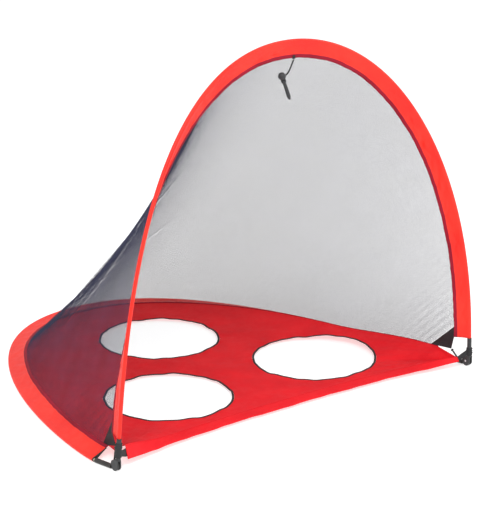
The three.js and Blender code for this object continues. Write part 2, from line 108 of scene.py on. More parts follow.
class Arch:
    """A rod's centre line, with a frame at each place: t along it, n inwards in its plane, b out of it."""

    def __init__(self, halves, out, band, tilts):
        self.out, self.band, self.tilts = np.array(out, float), band, tilts
        self.inward = 1 if out[2] else -1
        dense = np.linspace(0, 1, 1501)
        left, right = (bezier(h, dense) for h in halves)
        path = np.concatenate([left[::-1], right[1:]])
        steps = np.linalg.norm(np.diff(path, axis=0), axis=1)
        self.s = np.concatenate([[0], np.cumsum(steps)])
        self.path, self.left = path, self.s[len(dense) - 1]
        self.length = self.s[-1]
        self.tangent = unit(np.gradient(path, self.s, axis=0))

    def pair(self, share):
        """s at a share from -1, near the left foot, through the apex at 0 to 1, as the net is hung."""
        left = self.left - (self.left - NET_START) * np.clip(-share, 0, 1)
        right = (self.length - self.left - NET_START) * np.clip(share, 0, 1)
        return left + right

    def frame(self, s):
        def along(table):
            return np.stack([np.interp(s, self.s, table[:, i]) for i in range(3)], -1)

        t = unit(along(self.tangent))
        b = unit(self.out - t * (t @ self.out)[:, None])
        n = np.cross(t, b) * self.inward
        half = np.where(s < self.left, self.left, self.length - self.left)
        rise = np.minimum(s, self.length - s) / half
        left_foot, right_foot, leg, apex = (math.radians(x) for x in self.tilts)
        foot = np.where(s < self.left, left_foot, right_foot)
        tilt = foot + (leg - foot) * smoothstep(0.03, 0.3, rise)
        tilt = tilt + (apex - tilt) * smoothstep(0.35, 0.95, rise)
        return {"p": along(self.path), "t": t, "n": n, "b": b, "tilt": tilt, "rise": rise, "s": s}

    def point(self, f, along, off):
        """Points of the band: along it from the rod, and off its face. along and off are (stations, m)."""
        c, s = np.cos(f["tilt"])[:, None], np.sin(f["tilt"])[:, None]
        along, off = np.broadcast_arrays(np.atleast_2d(along), np.atleast_2d(off))
        inwards = (along * c - off * s)[..., None] * f["n"][:, None]
        outwards = (along * s + off * c)[..., None] * f["b"][:, None]
        return f["p"][:, None] + inwards + outwards


def corner(side, splay):
    splay = math.radians(splay)
    base_root = np.array([side * HALF_WIDTH, MIDDLE_Y + KNUCKLE, TUBE])
    base_way = np.array([side * math.sin(splay), math.cos(splay), 0])
    arch_root = np.array([side * HALF_WIDTH, MIDDLE_Y + TUBE, KNUCKLE])
    arch_way = unit(np.array([-side * 0.059, -0.029, 1]))
    return base_root, base_way, arch_root, arch_way


base_halves, arch_halves = [], []
for side, law in SIDES.items():
    base_root, base_way, arch_root, arch_way = corner(side, law["splay"])
    foot = base_root + ARM_END * base_way
    leg = foot + law["leg"] * base_way
    leg[2] = ROD_Z
    apex = np.array([0, MIDDLE_Y + BASE_DEPTH, ROD_Z])
    base_halves.append((apex, apex + (side * law["back"], 0, 0), leg, foot))
    foot = arch_root + ARM_END * arch_way
    apex = np.array([0, MIDDLE_Y + ARCH_LEAN, ARCH_HEIGHT])
    arch_halves.append((apex, apex + (side * ARCH_TOP_REACH, 0, 0), foot + ARCH_LEG_REACH * arch_way, foot))
base = Arch(base_halves, (0, 0, 1), BASE_BAND, (SIDES[-1]["base_foot"], SIDES[1]["base_foot"], 27, 5))
arch = Arch(arch_halves, (0, 1, 0), ARCH_BAND, (SIDES[-1]["arch_foot"], SIDES[1]["arch_foot"], 52, 5))


def folds(obj):
    """Bakes the piece's transform into its mesh and reads its points, which nothing uses; the piece is not turned
    or folded."""
    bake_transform(obj)
    co = vertices(obj)
    return obj


# ------------------------------------------------------------------- mesh helpers
def vertices(obj):
    co = np.zeros(len(obj.data.vertices) * 3, np.float32)
    obj.data.vertices.foreach_get("co", co)
    return co.reshape(-1, 3).astype(float)


def make(name, points, faces, material, uv=None, smooth=True):
    mesh = bpy.data.meshes.new(name)
    mesh.from_pydata(np.asarray(points, float).reshape(-1, 3).tolist(), [], [list(map(int, f)) for f in faces])
    if uv is not None:
        uv = np.asarray(uv, float).reshape(-1, 2)
        layer = mesh.uv_layers.new(name="UVMap")
        index = np.zeros(len(mesh.loops), np.int32)
        mesh.loops.foreach_get("vertex_index", index)
        layer.data.foreach_set("uv", uv[index].astype(np.float32).ravel())
    mesh.polygons.foreach_set("use_smooth", np.full(len(mesh.polygons), smooth))
    mesh.materials.append(material)
    return placed(name, mesh)


def skin(name, rings, material, closed=True, capped=True):
    """A smooth skin over rings, an array (stations, points, 3), with UVs in metres."""
    k, n, _ = rings.shape
    across = np.linalg.norm(np.diff(rings, axis=1), axis=2).mean(0)
    v = np.concatenate([[0], np.cumsum(across)])
    u = np.concatenate([[0], np.cumsum(np.linalg.norm(np.diff(rings.mean(1), axis=0), axis=1))])
    uv = np.stack(np.meshgrid(u, v, indexing="ij"), -1)
    i, j = np.meshgrid(np.arange(k - 1), np.arange(n if closed else n - 1), indexing="ij")
    a, b = i * n + j, i * n + (j + 1) % n
    faces = np.stack([a, b, b + n, a + n], -1).reshape(-1, 4).tolist()
    if closed and capped:
        faces += [list(range(n))[::-1], [(k - 1) * n + x for x in range(n)]]
    return make(name, rings, faces, material, uv)


def recalc(obj):
    bm = bmesh.new()
    bm.from_mesh(obj.data)
    bmesh.ops.recalc_face_normals(bm, faces=bm.faces)
    bm.to_mesh(obj.data)
    bm.free()
    return obj


def turned(name, profile, origin, axis, material, sides=40):
    """A lathed piece. profile is (radius, distance along axis) pairs."""
    axis = Vector(axis).normalized()
    turn = Vector((0, 0, 1)).rotation_difference(axis).to_matrix()
    rings = []
    for r, d in profile:
        ring = [Vector((r * math.cos(a), r * math.sin(a), d)) for a in np.linspace(0, math.tau, sides, False)]
        rings.append([tuple(turn @ p + Vector(origin)) for p in ring])
    return recalc(skin(name, np.array(rings), material))


def rounded(profile, r=0.0006, steps=3):
    """A profile with its corners cut round."""
    out = [profile[0]]
    for a, b, c in zip(profile, profile[1:], profile[2:]):
        a, b, c = (np.array(x, float) for x in (a, b, c))
        u, w = unit(a - b), unit(c - b)
        k = min(r, np.linalg.norm(a - b) / 2.1, np.linalg.norm(c - b) / 2.1)
        for t in np.linspace(0, 1, steps + 1):
            out.append(tuple((1 - t) ** 2 * (b + u * k) + 2 * (1 - t) * t * b + t * t * (b + w * k)))
    return out + [profile[-1]]


def waves(s, seed, lengths, amounts):
    """A smooth irregular line along s, in metres."""
    r = np.random.default_rng(seed)
    total = np.zeros_like(s)
    for wavelength, amount in zip(lengths, amounts):
        turns = 2 * math.pi * s / wavelength + r.uniform(0, 6.28)
        total += amount * np.sin(turns + 1.3 * np.sin(s * 3.1 + seed))
    return total


# --------------------------------------------------------------------- materials
def material(name, colour, roughness, metallic=0.0, coat=0.0, specular=0.5):
    m = bpy.data.materials.new(name)
    m.use_nodes = True
    shader = m.node_tree.nodes["Principled BSDF"]
    shader.inputs["Base Color"].default_value = (*colour, 1)
    shader.inputs["Roughness"].default_value = roughness
    shader.inputs["Metallic"].default_value = metallic
    shader.inputs["Coat Weight"].default_value = coat
    shader.inputs["Specular IOR Level"].default_value = specular
    return m, m.node_tree.nodes, m.node_tree.links, shader


def add(nodes_, kind, **values):
    node = nodes_.new(kind)
    for key, value in values.items():
        if key in node.inputs:
            node.inputs[key].default_value = value
        else:
            setattr(node, key, value)
    return node


def mottled(tree_nodes, links, shader, colour, dark, scale, coords="Object", detail=4, spread=(0.35, 0.65)):
    """Base colour that drifts between two tones."""
    place = add(tree_nodes, "ShaderNodeTexCoord")
    noise = add(tree_nodes, "ShaderNodeTexNoise", Scale=scale, Detail=detail, Roughness=0.55)
    ramp = add(tree_nodes, "ShaderNodeValToRGB")
    ramp.color_ramp.elements[0].position, ramp.color_ramp.elements[1].position = spread
    ramp.color_ramp.elements[0].color = (*dark, 1)
    ramp.color_ramp.elements[1].color = (*colour, 1)
    links.new(place.outputs[coords], noise.inputs["Vector"])
    links.new(noise.outputs["Fac"], ramp.inputs["Fac"])
    links.new(ramp.outputs["Color"], shader.inputs["Base Color"])
    return place


def woven(name, colour, dark, pitch=0.0011, roughness=0.6, depth=0.00012, specular=0.4, rough_spread=0.12):
    """Plain-weave cloth: crossing threads at a pitch in metres, on the mesh's own UVs, with a slow drift
    of tone and a finer one of roughness."""
    m, n, l, shader = material(name, colour, roughness, specular=specular)
    place = mottled(n, l, shader, colour, dark, 9.0)
    uv = add(n, "ShaderNodeUVMap", uv_map="UVMap")
    split = add(n, "ShaderNodeSeparateXYZ")
    l.new(uv.outputs["UV"], split.inputs[0])
    ways = []
    for axis in "XY":
        scaled = add(n, "ShaderNodeMath", operation="MULTIPLY")
        scaled.inputs[1].default_value = math.pi / pitch
        wave = add(n, "ShaderNodeMath", operation="SINE")
        size = add(n, "ShaderNodeMath", operation="ABSOLUTE")
        l.new(split.outputs[axis], scaled.inputs[0])
        l.new(scaled.outputs[0], wave.inputs[0])
        l.new(wave.outputs[0], size.inputs[0])
        ways.append(size)
    height = add(n, "ShaderNodeMath", operation="MAXIMUM")
    l.new(ways[0].outputs[0], height.inputs[0])
    l.new(ways[1].outputs[0], height.inputs[1])
    bump = add(n, "ShaderNodeBump", Strength=0.35, Distance=depth)
    l.new(height.outputs[0], bump.inputs["Height"])
    l.new(bump.outputs["Normal"], shader.inputs["Normal"])
    fine = add(n, "ShaderNodeTexNoise", Scale=60.0, Detail=3.0)
    l.new(place.outputs["Object"], fine.inputs["Vector"])
    rough = add(n, "ShaderNodeMapRange")
    rough.inputs["To Min"].default_value = roughness - rough_spread
    rough.inputs["To Max"].default_value = roughness + rough_spread
    l.new(fine.outputs["Fac"], rough.inputs["Value"])
    l.new(rough.outputs["Result"], shader.inputs["Roughness"])
    return m


def moulded(name, colour, dark, roughness=0.45, grain=900.0, depth=0.00006):
    """Moulded plastic with a fine spark texture."""
    m, n, l, shader = material(name, colour, roughness, specular=0.45)
    place = mottled(n, l, shader, colour, dark, 55.0)
    fine = add(n, "ShaderNodeTexNoise", Scale=grain, Detail=2.0)
    l.new(place.outputs["Object"], fine.inputs["Vector"])
    bump = add(n, "ShaderNodeBump", Strength=0.4, Distance=depth)
    l.new(fine.outputs["Fac"], bump.inputs["Height"])
    l.new(bump.outputs["Normal"], shader.inputs["Normal"])
    return m


RED_SLEEVE = woven("sleeve_cloth", (0.88, 0.034, 0.020), (0.80, 0.023, 0.016), roughness=0.46, specular=0.22)
RED_FLOOR = woven("floor_cloth", (0.80, 0.010, 0.017), (0.70, 0.007, 0.014), pitch=0.0012, roughness=0.6,
                  specular=0.2)
# the seam tape is real, but its dark maroon, far below the sleeve's red, is partly painted shade: the strip along
# the band's inner edge, where the net is sewn in, lies in shade
MAROON_AND_PAINTED_SHADE = woven("seam_tape", (0.30, 0.009, 0.028), (0.21, 0.006, 0.019), pitch=0.0008, roughness=0.7,
               specular=0.2)
BLACK_TAPE = woven("black_tape", (0.028, 0.022, 0.022), (0.018, 0.015, 0.015), pitch=0.0009, roughness=0.75)
WEBBING = woven("webbing", (0.022, 0.022, 0.024), (0.012, 0.012, 0.014), pitch=0.0022, roughness=0.7,
                depth=0.0005)
PLASTIC = moulded("black_plastic", (0.030, 0.031, 0.034), (0.020, 0.021, 0.023))
# the base's elbows and grips are the same black plastic as the upright's; their brownish tone is painted
# reflection, standing in for how the sky and the ground light the tops of the base's flat arms
PLASTIC_PAINTED_REFLECTION = moulded("black_plastic_painted_reflection", (0.036, 0.032, 0.030), (0.024, 0.021, 0.020), roughness=0.5)
ELASTIC = moulded("elastic_cord", (0.020, 0.020, 0.022), (0.012, 0.012, 0.013), roughness=0.7, grain=1600.0)
RED_THREAD, *_ = material("sewing_thread_red", (0.52, 0.010, 0.016), 0.7, specular=0.1)
BLACK_THREAD, *_ = material("sewing_thread_black", (0.02, 0.018, 0.018), 0.6)


def net_material():
    m, n, l, shader = material("net_thread", (0.036, 0.038, 0.074), 0.7, specular=0.1)
    mottled(n, l, shader, (0.042, 0.044, 0.084), (0.028, 0.030, 0.056), 14.0)
    return m


def rod_material():
    m, n, l, shader = material("fibreglass", (0.78, 0.66, 0.48), 0.35, coat=0.3)
    mottled(n, l, shader, (0.80, 0.68, 0.50), (0.70, 0.57, 0.40), 120.0)
    return m


def steel_material():
    m, n, l, shader = material("rivet_steel", (0.72, 0.72, 0.74), 0.3, metallic=1.0)
    mottled(n, l, shader, (0.76, 0.76, 0.78), (0.60, 0.60, 0.62), 400.0)
    return m


def dress(name, stuff):
    """Gives a CAD piece that is shown as it is its material."""
    nodes[name].data.materials.clear()
    nodes[name].data.materials.append(stuff)


NET_THREAD, ROD, STEEL = net_material(), rod_material(), steel_material()
for name in ("base_rod", "upright_rod"):
    dress(name, ROD)

# -------------------------------------------------------------- the toggle and its cord
ANCHOR = Vector((0.01984, MIDDLE_Y + 0.09639, 0.92260))
BALL = ANCHOR + Vector((-0.0375, 0, -0.0375))
BALL_R, CORD_R = 0.010, 0.0019
PEG_WAY = Vector((27, 0, -65)).normalized()
CORD_SIDE = Vector((1, 0, 0.1)).normalized()
CORD_IN = BALL + CORD_SIDE * 0.0103
CORD_CURVE = (ANCHOR, ANCHOR + Vector((-0.008, 0, -0.014)), CORD_IN + CORD_SIDE * 0.012, CORD_IN)


def catmull(points, count):
    """Points evenly along a smooth curve through the given ones."""
    p = np.array([2 * points[0] - points[1], *points, 2 * points[-1] - points[-2]], float)
    out = []
    for i in range(1, len(p) - 2):
        for t in np.linspace(0, 1, 40, i == len(p) - 3):
            a, b, c, d = p[i - 1 : i + 3]
            square, cube = 2 * a - 5 * b + 4 * c - d, 3 * b - a - 3 * c + d
            out.append(0.5 * (2 * b + (c - a) * t + square * t**2 + cube * t**3))
    out = np.array(out)
    s = np.concatenate([[0], np.cumsum(np.linalg.norm(np.diff(out, axis=0), axis=1))])
    return np.stack([np.interp(np.linspace(0, s[-1], count), s, out[:, i]) for i in range(3)], -1)


def tube(name, path, radius, material_, sides=12, bulge=None):
    """A tube along path. bulge is the radius' factor along it."""
    t = unit(np.gradient(path, axis=0))
    side = unit(np.cross(t, (0.13, 1, 0.21)))
    up = np.cross(side, t)
    angles = np.linspace(0, math.tau, sides, False)
    r = radius * (np.ones(len(path)) if bulge is None else bulge)
    ring = np.cos(angles)[None, :, None] * side[:, None] + np.sin(angles)[None, :, None] * up[:, None]
    return recalc(skin(name, path[:, None] + ring * r[:, None, None], material_))


cord_path = bezier([np.array(p) for p in CORD_CURVE], np.linspace(0, 1, 24))
toggle_cord = tube("elastic_cord", cord_path, CORD_R, ELASTIC, 14)
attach(toggle_cord, "toggle_cord")
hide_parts("toggle_cord")

arc = np.linspace(0, math.pi - 0.28, 24)
ball_profile = [(BALL_R * math.sin(a) + 1e-6, -BALL_R * math.cos(a)) for a in arc] + [(0.0027, 0.0080)]
ball = turned("ball", ball_profile, BALL, PEG_WAY, PLASTIC)
collar_profile = [(0.0028, 0.011), (0.0063, 0.011), (0.0070, 0.013), (0.0070, 0.0142), (0.0062, 0.0146),
                  (0.0062, 0.0152), (0.0070, 0.0156), (0.0069, 0.0168), (0.0058, 0.018), (0.0028, 0.018)]
collar = turned("collar", rounded(collar_profile, 0.0004), BALL, PEG_WAY, PLASTIC)
peg_profile = [(1e-6, 0.0024), (0.0024, 0.0024), (0.0024, 0.0184), (0.0044, 0.0184), (0.0046, 0.034),
               (0.0048, 0.046), (0.0044, 0.060), (0.0030, 0.066), (0.0010, 0.0684), (1e-6, 0.0684)]
peg = turned("peg", rounded(peg_profile, 0.0006), BALL, PEG_WAY, PLASTIC)
for piece, node in ((ball, "toggle_ball"), (collar, "toggle_collar"), (peg, "toggle_peg")):
    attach(piece, "toggle")
    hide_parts(node)

# ------------------------------------------------------------------------- the sleeves
SLEEVE_R, CHANNEL_R = 0.005, 0.0038
BAND_SEEDS = {"base": 3, "upright": 11}


def creases(arch_, s, a, seed, count, height):
    """Slight diagonal wrinkles of the band, as an offset of its face. a is 0 at the rod and 1 at the seam."""
    r = np.random.default_rng(seed)
    total = np.zeros(np.broadcast(s, a).shape)
    for _ in range(count):
        centre, lean = r.uniform(0.05, arch_.length - 0.05), r.choice([-1, 1]) * r.uniform(0.03, 0.09)
        width, size = r.uniform(0.005, 0.014), r.uniform(0.3, 1.0) * height
        where, reach = r.uniform(0.2, 0.9), r.uniform(0.25, 0.6)
        across = (s - centre - lean * (a - 0.5)) / width
        total += size * np.exp(-across**2) * np.exp(-(((a - where) / reach) ** 2))
    return total * np.clip(a, 0, 1) ** 0.7 * smoothstep(1.02, 0.8, a)


def band_width(of, s, seed):
    return of.band + waves(s, seed, (0.31, 0.12, 0.047), (0.0004, 0.0003, 0.0002))


def sleeve(name, of, start, key, spacing=0.007, bumps=70, height=0.0016):
    s = np.linspace(start, of.length - start, int((of.length - 2 * start) / spacing))
    f = of.frame(s)
    band = band_width(of, s, BAND_SEEDS[key])[:, None]
    share = np.linspace(1, 0, 13)[None, :]
    along = 0.004 + (band - 0.004) * share
    half = 0.0007 + 0.0038 * (1 - share) ** 2.5 + 0.0006 * np.exp(-(((share - 0.94) / 0.04) ** 2))
    shift = creases(of, s[:, None], share, BAND_SEEDS[key] + 1, bumps, height)
    angles = np.radians(np.linspace(72, 288, 17))[None, :]
    ones = np.ones((len(s), 1))
    outer_a = np.concatenate([along, SLEEVE_R * np.cos(angles) * ones, along[:, ::-1]], 1)
    faces_off = half * ones + shift, SLEEVE_R * np.sin(angles) * ones, (shift - half)[:, ::-1]
    outer_o = np.concatenate(faces_off, 1)
    rings = of.point(f, outer_a, outer_o)
    angles = np.radians(np.linspace(2, 358, outer_a.shape[1]))[None, :]
    inner = of.point(f, CHANNEL_R * np.cos(angles) * ones, CHANNEL_R * np.sin(angles) * ones)
    k, n = rings.shape[:2]
    outer = skin(name, rings, RED_SLEEVE, capped=False)
    # the channel's wall, and the two mouths round it
    points = np.concatenate([rings.reshape(-1, 3), inner.reshape(-1, 3)])
    faces = [list(p.vertices) for p in outer.data.polygons]
    inside = k * n
    for i in range(k - 1):
        for j in range(n):
            a, b = inside + i * n + j, inside + i * n + (j + 1) % n
            faces.append((a, a + n, b + n, b))
    for j in range(n):
        q = (j + 1) % n
        faces.append((q, j, inside + j, inside + q))
        last = (k - 1) * n
        faces.append((last + j, last + q, inside + last + q, inside + last + j))
    uv = np.zeros((len(points), 2))
    uv[:inside, 0] = np.repeat(s, n)
    v = np.concatenate([[0], np.cumsum(np.linalg.norm(np.diff(rings[k // 2], axis=0), axis=1))])
    uv[:inside, 1] = np.tile(v, k)
    uv[inside:] = uv[:inside]
    bpy.data.objects.remove(outer)
    return make(name, points, faces, RED_SLEEVE, uv)


bound = SLEEVE_START + END_BINDING + GAP
base_sleeve = sleeve("base_sleeve_cloth", base, bound, "base")
arch_sleeve = sleeve("upright_sleeve_cloth", arch, 0.001, "upright", bumps=110, height=0.0036)


def seam_tape(name, of, start, key):
    s = np.linspace(start, of.length - start, int((of.length - 2 * start) / 0.006))
    f = of.frame(s)
    band = band_width(of, s, BAND_SEEDS[key])[:, None]
    w, t = SEAM_W + 0.0016, SEAM_T / 2
    section = rounded([(-0.0022, t), (-0.0022, -t), (w, -t), (w, t), (-0.0022, t)], 0.0007)
    along = band + GAP + np.array([p[0] for p in section[:-1]])[None]
    along = along + waves(s, 5, (0.09, 0.03), (0.0002, 0.0002))[:, None]
    off = np.array([p[1] for p in section[:-1]])[None] * np.ones_like(along)
    # the tape's dark maroon is partly painted shade along the band's inner edge
    return recalc(skin(name, of.point(f, along, off), MAROON_AND_PAINTED_SHADE))


base_tape = seam_tape("base_seam_tape", base, bound, "base")
arch_tape = seam_tape("upright_seam_tape", arch, 0.001, "upright")


def stitches(name, points, faces_, material_, pitch=0.0035, length=0.0024, radius=0.0003):
    """A run of stitches: small rounded threads lying along a line, on the side that faces_ points to."""
    d = np.linalg.norm(np.diff(points, axis=0), axis=1)
    s = np.concatenate([[0], np.cumsum(d)])
    centres = np.arange(pitch, s[-1] - pitch, pitch)

    def sample(table, at):
        return np.stack([np.interp(at, s, table[:, i]) for i in range(3)], -1)

    c = sample(points, centres)
    way = unit(sample(points, centres + 0.0005) - sample(points, centres - 0.0005))
    up = unit(sample(faces_, centres))
    side = unit(np.cross(way, up))
    xs = np.array([-0.5, -0.3, 0.3, 0.5]) * length
    rs = np.array([0.25, 1, 1, 0.25]) * radius
    angles = np.linspace(0, math.tau, 5, False)
    cos, sin = (f(angles)[None, None, :, None] for f in (np.cos, np.sin))
    ring = side[:, None, None] * cos + up[:, None, None] * sin
    pts = c[:, None, None] + way[:, None, None] * xs[None, :, None, None] + ring * rs[None, :, None, None]
    pts = pts + up[:, None, None] * (radius * 0.35)
    count = len(centres)
    i, j = np.meshgrid(np.arange(3), np.arange(5), indexing="ij")
    q = (j + 1) % 5
    quads = np.stack([i * 5 + j, i * 5 + q, (i + 1) * 5 + q, (i + 1) * 5 + j], -1).reshape(-1, 4)
    faces = (quads[None] + 20 * np.arange(count)[:, None, None]).reshape(-1, 4).tolist()
    caps = np.array([[4, 3, 2, 1, 0], [15, 16, 17, 18, 19]])
    faces += (caps[None] + 20 * np.arange(count)[:, None, None]).reshape(-1, 5).tolist()
    return make(name, pts, faces, material_)


def band_stitches(name, of, start, key, along, thread, off=None):
    """Stitches on both faces of a band, along from its seam (negative towards the rod)."""
    s = np.arange(start + 0.004, of.length - start - 0.004, 0.01)
    f = of.frame(s)
    band = band_width(of, s, BAND_SEEDS[key])[:, None]
    runs = []
    for face in (1, -1):
        line = of.point(f, band + along, face * off)[:, 0]
        beyond = of.point(f, band + along, face * (off + 0.001))[:, 0]
        runs.append(stitches(f"{name}_{face}", line, beyond - line, thread))
    return join(name, runs)


def join(name, parts):
    points, faces, count = [], [], 0
    for p in parts:
        points.append(vertices(p))
        faces += [[i + count for i in f.vertices] for f in p.data.polygons]
        count += len(points[-1])
    stuff = parts[0].data.materials[0]
    for p in parts:
        bpy.data.objects.remove(p)
    return make(name, np.concatenate(points), faces, stuff)


on_tape = (SEAM_W / 2, RED_THREAD, SEAM_T / 2)
base_tape_thread = band_stitches("base_seam_stitches", base, bound, "base", *on_tape)
arch_tape_thread = band_stitches("upright_seam_stitches", arch, 0.001, "upright", *on_tape)

# black tape on the two ends of the base sleeve
end_tapes = []
for side, label in ((-1, "left"), (1, "right")):
    s = np.linspace(SLEEVE_START, SLEEVE_START + END_BINDING, 5)
    s = s if side < 0 else base.length - s
    f = base.frame(s)
    half = 0.0011
    a = np.linspace(base.band, 0.004, 14)
    o = half + 0.0036 * (1 - (a - 0.004) / (base.band - 0.004)) ** 1.5
    angles = np.radians(np.linspace(72, 288, 17))
    along = np.concatenate([a, 0.0053 * np.cos(angles), a[::-1]])
    off = np.concatenate([o, 0.0053 * np.sin(angles), -o[::-1]])
    outer = base.point(f, along[None], off[None])
    angles = np.radians(np.linspace(2, 358, len(along)))
    inner = base.point(f, CHANNEL_R * np.cos(angles)[None], CHANNEL_R * np.sin(angles)[None])
    rings = np.concatenate([outer, inner[::-1]])
    k, n = rings.shape[:2]
    faces = []
    for i in range(k):
        for j in range(n):
            a0, b0 = i * n + j, i * n + (j + 1) % n
            c0, d0 = ((i + 1) % k) * n + (j + 1) % n, ((i + 1) % k) * n + j
            faces.append((a0, b0, c0, d0))
    uv = np.stack(np.meshgrid(np.arange(k) * 0.001, np.arange(n) * 0.002, indexing="ij"), -1)
    tape = recalc(make(f"sleeve_end_tape_{label}", rings, faces, BLACK_TAPE, uv))
    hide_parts(f"sleeve_end_binding_{label}")
    end_tapes.append(tape)

for piece, node in ((base_sleeve, "base_sleeve"), (arch_sleeve, "upright_sleeve"),
                    (base_tape, "base_seam_binding"), (arch_tape, "upright_seam_binding")):
    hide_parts(node)

# ------------------------------------------------------------------------ the front hem
HEM_END = 0.56


def hem_frame(x):
    """The hem's front edge, the way across it, its face's direction and its width, at each x."""
    t = np.abs(x) / HEM_END
    end_z, end_width, end_tilt = (np.where(x < 0, *pair) for pair in zip(SIDES[-1]["hem"], SIDES[1]["hem"]))
    tilt = np.radians(8 + (end_tilt - 8) * t**8)
    y = 0.062 + (0.012 - 0.062) * t**3 + MIDDLE_Y
    z = 0.008 + (end_z - 0.008) * t**5
    front = np.stack([x, y, z], -1)
    way = np.stack([0 * x, np.cos(tilt), np.sin(tilt)], -1)
    face = np.stack([0 * x, -np.sin(tilt), np.cos(tilt)], -1)
    return front, way, face, 0.038 + (end_width - 0.038) * t**4


hem_x = np.linspace(-HEM_END, HEM_END, 221)
front, way, face, width = hem_frame(hem_x)
ripple = waves(hem_x, 21, (0.23, 0.09, 0.05), (0.0010, 0.0006, 0.0003))
ripple = ripple * smoothstep(HEM_END, 0.45, np.abs(hem_x))
section = [(0.0, 0.0), (0.05, 0.8), (0.12, 1.15), (0.3, 1.0), (0.55, 0.95), (0.8, 0.9), (0.9, 0.55),
           (0.96, 0.8), (1, 0.7), (1, -0.7), (0.96, -0.8), (0.9, -0.9), (0.55, -1.0), (0.3, -1.0),
           (0.12, -1.15), (0.05, -0.8)]
HALF_TAPE = 0.0011  # half the thickness of the hem and of the tape round the holes
rings = np.stack([
    front + way * (width * a + ripple * (1 - a))[:, None]
    + face * (o * HALF_TAPE + ripple * 0.6 * math.sin(math.pi * a))[:, None]
    for a, o in section], 1)
hem = recalc(skin("hem_cloth", rings, RED_FLOOR))
hem_line = front + way * (width * 0.9)[:, None] + face * 0.0007
hem_thread = stitches("hem_stitches", hem_line, face, RED_THREAD)
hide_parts("front_hem")
for piece in (hem, hem_thread):
    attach(piece, "base")

# ------------------------------------------------------------------------ the floor sheet
HOLE_R, BINDING = 0.170, 0.006
HOLES = (("back", 0.028, 0.713), ("left", -0.222, 0.315), ("right", 0.276, 0.305))
FLOOR_Z = 0.0065


def hole_edge(index, angle):
    """A bound hole's inner radius all round: a little uneven, as sewn cloth is."""
    r = np.random.default_rng(40 + index)
    radius = np.full_like(angle, HOLE_R)
    for k, size in ((2, 0.0010), (3, 0.0008), (5, 0.0005), (7, 0.0004), (11, 0.0003), (17, 0.0002)):
        radius += size * np.sin(k * angle + r.uniform(0, 6.28))
    return radius


def fan(x, y, ox, oy, angles, widths, size, reach, start=0.02):
    """Ridges that spread from a point: angles in degrees, size in metres."""
    dx, dy = x - ox, y - oy
    r, a = np.hypot(dx, dy), np.degrees(np.arctan2(dy, dx))
    total = np.zeros_like(r)
    for angle, width in zip(angles, widths):
        d = (a - angle + 180) % 360 - 180
        total += np.exp(-((d / width) ** 2))
    return total * size * np.exp(-r / reach) * smoothstep(start * 0.3, start * 3, r)


def floor_relief(x, y):
    """The floor's wrinkles above its mean surface."""
    z = fan(x, y, -0.56, MIDDLE_Y + 0.04, (12, 22, 31, 43, 56, 68), (2.2, 2.6, 3, 3.5, 3, 2.5), 0.0034, 0.30)
    z += fan(x, y, 0.55, MIDDLE_Y + 0.05, (168, 158, 147, 136, 122, 108), (2.4, 3, 3, 3.6, 4, 3), 0.0036, 0.34)
    z += 0.0007 * np.sin(x * 21 + 2.2 * np.sin(y * 9)) * np.sin(y * 17 + 1.7 * np.sin(x * 7))
    z += 0.0005 * np.sin(x * 47 + y * 29 + 2 * np.sin(y * 13))
    for index, (_, hx, hy) in enumerate(HOLES):
        dx, dy = x - hx, y - (hy + MIDDLE_Y)
        r, a = np.hypot(dx, dy), np.arctan2(dy, dx)
        ring = np.exp(-np.clip(r - HOLE_R, 0, None) / 0.035)
        ripples = (9, 0.0011, index), (14, 0.0008, 2 * index), (23, 0.0006, 0)
        z += ring * sum(size * np.sin(count * a + phase) for count, size, phase in ripples)
    return z


def resample(points, spacing):
    s = np.concatenate([[0], np.cumsum(np.linalg.norm(np.diff(points, axis=0), axis=1))])
    at = np.linspace(0, s[-1], max(2, round(s[-1] / spacing) + 1))
    return np.stack([np.interp(at, s, points[:, i]) for i in range(3)], -1)


s = np.linspace(bound, base.length - bound, 500)
seam_edge = band_width(base, s, BAND_SEEDS["base"]) + SEAM_W + 4 * GAP
rim = base.point(base.frame(s), seam_edge[:, None], -0.0008)[:, 0]
front, way, face, width = hem_frame(np.linspace(HEM_END, -HEM_END, 300))
hem_back = front + way * width[:, None] + np.array([0, -0.0015, -0.0014])
outline = np.concatenate([resample(rim, 0.009), resample(hem_back, 0.009)])
rings2d = []
for index, (_, hx, hy) in enumerate(HOLES):
    a = np.linspace(0, math.tau, 150, False)
    r = hole_edge(index, a) + BINDING + GAP
    rings2d.append(np.stack([hx + r * np.cos(a), hy + MIDDLE_Y + r * np.sin(a)], -1))


def inside(poly, x, y):
    """Even-odd test of points against a polygon."""
    hit = np.zeros(x.shape, bool)
    for (x0, y0), (x1, y1) in zip(poly, np.roll(poly, -1, axis=0)):
        if y0 == y1:
            continue
        crosses = (y0 > y) != (y1 > y)
        hit ^= crosses & (x < (x1 - x0) * (y - y0) / (y1 - y0) + x0)
    return hit


def near(poly, x, y):
    """Distance to the nearest point of a polygon, and that point's index."""
    best, index = np.full(x.shape, np.inf), np.zeros(x.shape, int)
    for i, (px, py) in enumerate(poly):
        d = np.hypot(x - px, y - py)
        closer = d < best
        best[closer], index[closer] = d[closer], i
    return best, index


